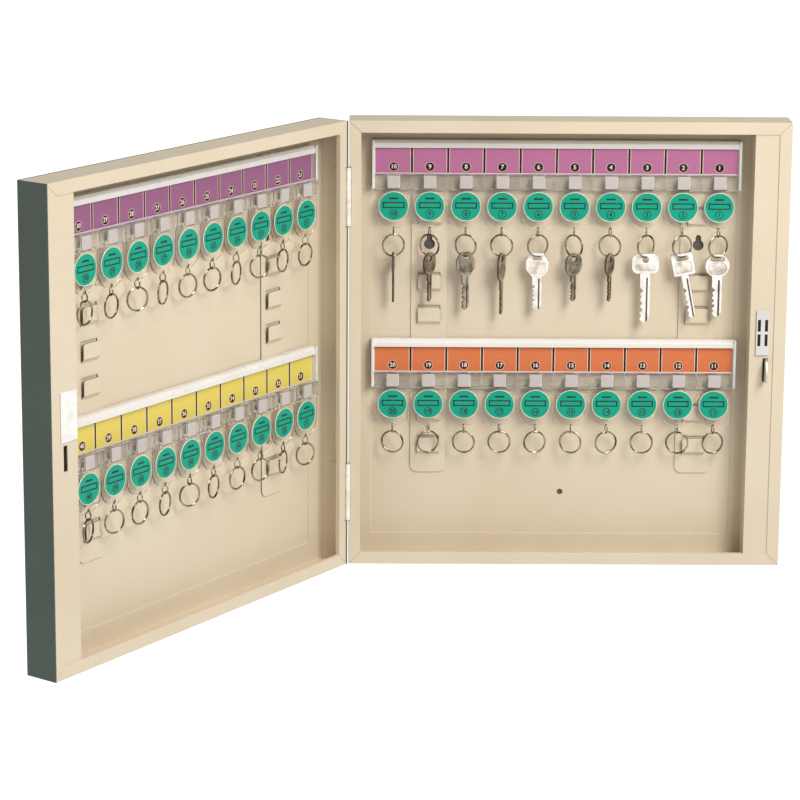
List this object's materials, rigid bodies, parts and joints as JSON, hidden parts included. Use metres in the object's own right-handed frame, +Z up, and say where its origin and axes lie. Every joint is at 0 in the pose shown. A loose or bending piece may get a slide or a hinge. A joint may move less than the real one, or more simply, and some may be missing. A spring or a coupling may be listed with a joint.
{
  "type": "key cabinet",
  "caption": "Wall-hung steel key cabinet with an open tray-shaped door, numbered key strips with hanging tags and keys, a magnetic catch and a cam lock.",
  "frame": {"origin": "centre of the cabinet's flat back face, on the wall", "axes": "+X to the right seen from the front, +Y into the wall, +Z up; the door is hinged on the -X side"},
  "size_m": [0.6042, 0.3269, 0.38],
  "materials": {
    "cream_paint": "powder coat, light orange peel",
    "green_paint": "powder coat, light orange peel",
    "zinc_steel": "zinc plated",
    "chrome_lock": "bright plated",
    "dark_steel": "dark, matt",
    "strike_steel": "pale, satin",
    "white_plastic": "satin moulded",
    "clear_plastic": "clear, glossy",
    "green_label": "glossy printed",
    "card_pink": "printed card",
    "card_orange": "printed card",
    "card_purple": "printed card",
    "card_yellow": "printed card",
    "nickel_steel": "nickel plated, worn"
  },
  "bodies": {
    "rear": {"catch_housing": "white_plastic", "catch_poles": "dark_steel", "hinge_pins": "zinc_steel", "latch_tongue": "cream_paint", "rear_case": "cream_paint", "rear_hanger_plates": "cream_paint", "rear_hinge_leaves": "zinc_steel", "rear_lock_column": "cream_paint", "rear_panel": "cream_paint"},
    "door": {"door_case": "cream_paint", "door_hanger_plates": "cream_paint", "door_hinge_leaves": "zinc_steel", "door_lock_column": "cream_paint", "door_panel": "cream_paint", "door_skin": "green_paint", "lock_barrel": "chrome_lock", "lock_nut": "zinc_steel", "strike_plate": "strike_steel"},
    "lock": {"lock_plug": "chrome_lock", "lock_cam": "zinc_steel", "lock_cam_screw": "zinc_steel"},
    "strip_1": {"strip_1_rail": "white_plastic", "strip_1_card": "card_pink"},
    "strip_2": {"strip_2_card": "card_orange", "strip_2_discs": "green_label", "strip_2_rail": "white_plastic", "strip_2_rings": "nickel_steel", "strip_2_tags": "clear_plastic"},
    "strip_3": {"strip_3_card": "card_purple", "strip_3_discs": "green_label", "strip_3_rail": "white_plastic", "strip_3_rings": "nickel_steel", "strip_3_tags": "clear_plastic"},
    "strip_4": {"strip_4_card": "card_yellow", "strip_4_discs": "green_label", "strip_4_rail": "white_plastic", "strip_4_rings": "nickel_steel", "strip_4_tags": "clear_plastic"},
    "numbered_tag_01": {"tag_01": "clear_plastic"},
    "numbered_tag_02": {"tag_02": "clear_plastic"},
    "numbered_tag_03": {"tag_03": "clear_plastic"},
    "numbered_tag_04": {"tag_04": "clear_plastic"},
    "numbered_tag_05": {"tag_05": "clear_plastic"},
    "numbered_tag_06": {"tag_06": "clear_plastic"},
    "numbered_tag_07": {"tag_07": "clear_plastic"},
    "numbered_tag_08": {"tag_08": "clear_plastic"},
    "numbered_tag_09": {"tag_09": "clear_plastic"},
    "numbered_tag_10": {"tag_10": "clear_plastic"},
    "hung_key_01": {"key_01": "nickel_steel"},
    "hung_key_02": {"key_02": "nickel_steel"},
    "hung_key_03": {"key_03": "nickel_steel"},
    "hung_key_04": {"key_04": "nickel_steel"},
    "hung_key_05": {"key_05": "nickel_steel"},
    "hung_key_06": {"key_06": "nickel_steel"},
    "hung_key_07": {"key_07": "nickel_steel"},
    "hung_key_08": {"key_08": "nickel_steel"},
    "hung_key_09": {"key_09": "nickel_steel"},
    "hung_key_10": {"key_10": "nickel_steel"}
  },
  "joints": [
    {"name": "door_hinge", "type": "hinge", "parent": "rear", "child": "door", "pos_m": [-0.183, -0.0315, 0], "axis": [0, 0, -1], "range_deg": [-126, 49]},
    {"name": "lock_turn", "type": "hinge", "parent": "door", "child": "lock", "pos_m": [-0.39387, -0.31153, -0.0374], "axis": [0.809, -0.5878, 0], "range_deg": [0, 90]},
    {"name": "strip_1_lift", "type": "slide", "parent": "rear", "child": "strip_1", "axis": [0, 0, 1], "range_m": [0, 0.0085]},
    {"name": "strip_2_lift", "type": "slide", "parent": "rear", "child": "strip_2", "axis": [0, 0, 1], "range_m": [0, 0.0085]},
    {"name": "strip_3_lift", "type": "slide", "parent": "door", "child": "strip_3", "axis": [0, 0, 1], "range_m": [0, 0.0085]},
    {"name": "strip_4_lift", "type": "slide", "parent": "door", "child": "strip_4", "axis": [0, 0, 1], "range_m": [0, 0.0085]},
    {"name": "tag_01_rock", "type": "hinge", "parent": "strip_1", "child": "numbered_tag_01", "pos_m": [0.12582, -0.0097, 0.13235], "axis": [-1, 0, 0], "range_deg": [0, 4.5]},
    {"name": "tag_02_rock", "type": "hinge", "parent": "strip_1", "child": "numbered_tag_02", "pos_m": [0.09567, -0.0097, 0.13235], "axis": [-1, 0, 0], "range_deg": [0, 4.5]},
    {"name": "tag_03_rock", "type": "hinge", "parent": "strip_1", "child": "numbered_tag_03", "pos_m": [0.06552, -0.0097, 0.13235], "axis": [-1, 0, 0], "range_deg": [0, 4.5]},
    {"name": "tag_04_rock", "type": "hinge", "parent": "strip_1", "child": "numbered_tag_04", "pos_m": [0.03537, -0.0097, 0.13235], "axis": [-1, 0, 0], "range_deg": [0, 4.5]},
    {"name": "tag_05_rock", "type": "hinge", "parent": "strip_1", "child": "numbered_tag_05", "pos_m": [0.00522, -0.0097, 0.13235], "axis": [-1, 0, 0], "range_deg": [0, 4.5]},
    {"name": "tag_06_rock", "type": "hinge", "parent": "strip_1", "child": "numbered_tag_06", "pos_m": [-0.02492, -0.0097, 0.13235], "axis": [-1, 0, 0], "range_deg": [0, 4.5]},
    {"name": "tag_07_rock", "type": "hinge", "parent": "strip_1", "child": "numbered_tag_07", "pos_m": [-0.05507, -0.0097, 0.13235], "axis": [-1, 0, 0], "range_deg": [0, 4.5]},
    {"name": "tag_08_rock", "type": "hinge", "parent": "strip_1", "child": "numbered_tag_08", "pos_m": [-0.08522, -0.0097, 0.13235], "axis": [-1, 0, 0], "range_deg": [0, 4.5]},
    {"name": "tag_09_rock", "type": "hinge", "parent": "strip_1", "child": "numbered_tag_09", "pos_m": [-0.11538, -0.0097, 0.13235], "axis": [-1, 0, 0], "range_deg": [0, 4.5]},
    {"name": "tag_10_rock", "type": "hinge", "parent": "strip_1", "child": "numbered_tag_10", "pos_m": [-0.14552, -0.0097, 0.13235], "axis": [-1, 0, 0], "range_deg": [0, 4.5]},
    {"name": "key_01_swing", "type": "hinge", "parent": "numbered_tag_01", "child": "hung_key_01", "pos_m": [0.12582, -0.01225, 0.09835], "axis": [0, 1, 0], "range_deg": [-8, 8]},
    {"name": "key_02_swing", "type": "hinge", "parent": "numbered_tag_02", "child": "hung_key_02", "pos_m": [0.09567, -0.01225, 0.09835], "axis": [0, 1, 0], "range_deg": [-8, 8]},
    {"name": "key_03_swing", "type": "hinge", "parent": "numbered_tag_03", "child": "hung_key_03", "pos_m": [0.06552, -0.01225, 0.09835], "axis": [0, 1, 0], "range_deg": [-8, 8]},
    {"name": "key_04_swing", "type": "hinge", "parent": "numbered_tag_04", "child": "hung_key_04", "pos_m": [0.03537, -0.01225, 0.09835], "axis": [0, 1, 0], "range_deg": [-8, 8]},
    {"name": "key_05_swing", "type": "hinge", "parent": "numbered_tag_05", "child": "hung_key_05", "pos_m": [0.00522, -0.01225, 0.09835], "axis": [0, 1, 0], "range_deg": [-8, 8]},
    {"name": "key_06_swing", "type": "hinge", "parent": "numbered_tag_06", "child": "hung_key_06", "pos_m": [-0.02492, -0.01225, 0.09835], "axis": [0, 1, 0], "range_deg": [-8, 8]},
    {"name": "key_07_swing", "type": "hinge", "parent": "numbered_tag_07", "child": "hung_key_07", "pos_m": [-0.05507, -0.01225, 0.09835], "axis": [0, 1, 0], "range_deg": [-8, 8]},
    {"name": "key_08_swing", "type": "hinge", "parent": "numbered_tag_08", "child": "hung_key_08", "pos_m": [-0.08522, -0.01225, 0.09835], "axis": [0, 1, 0], "range_deg": [-8, 8]},
    {"name": "key_09_swing", "type": "hinge", "parent": "numbered_tag_09", "child": "hung_key_09", "pos_m": [-0.11538, -0.01225, 0.09835], "axis": [0, 1, 0], "range_deg": [-8, 8]},
    {"name": "key_10_swing", "type": "hinge", "parent": "numbered_tag_10", "child": "hung_key_10", "pos_m": [-0.14552, -0.01225, 0.09835], "axis": [0, 1, 0], "range_deg": [-8, 8]}
  ]
}
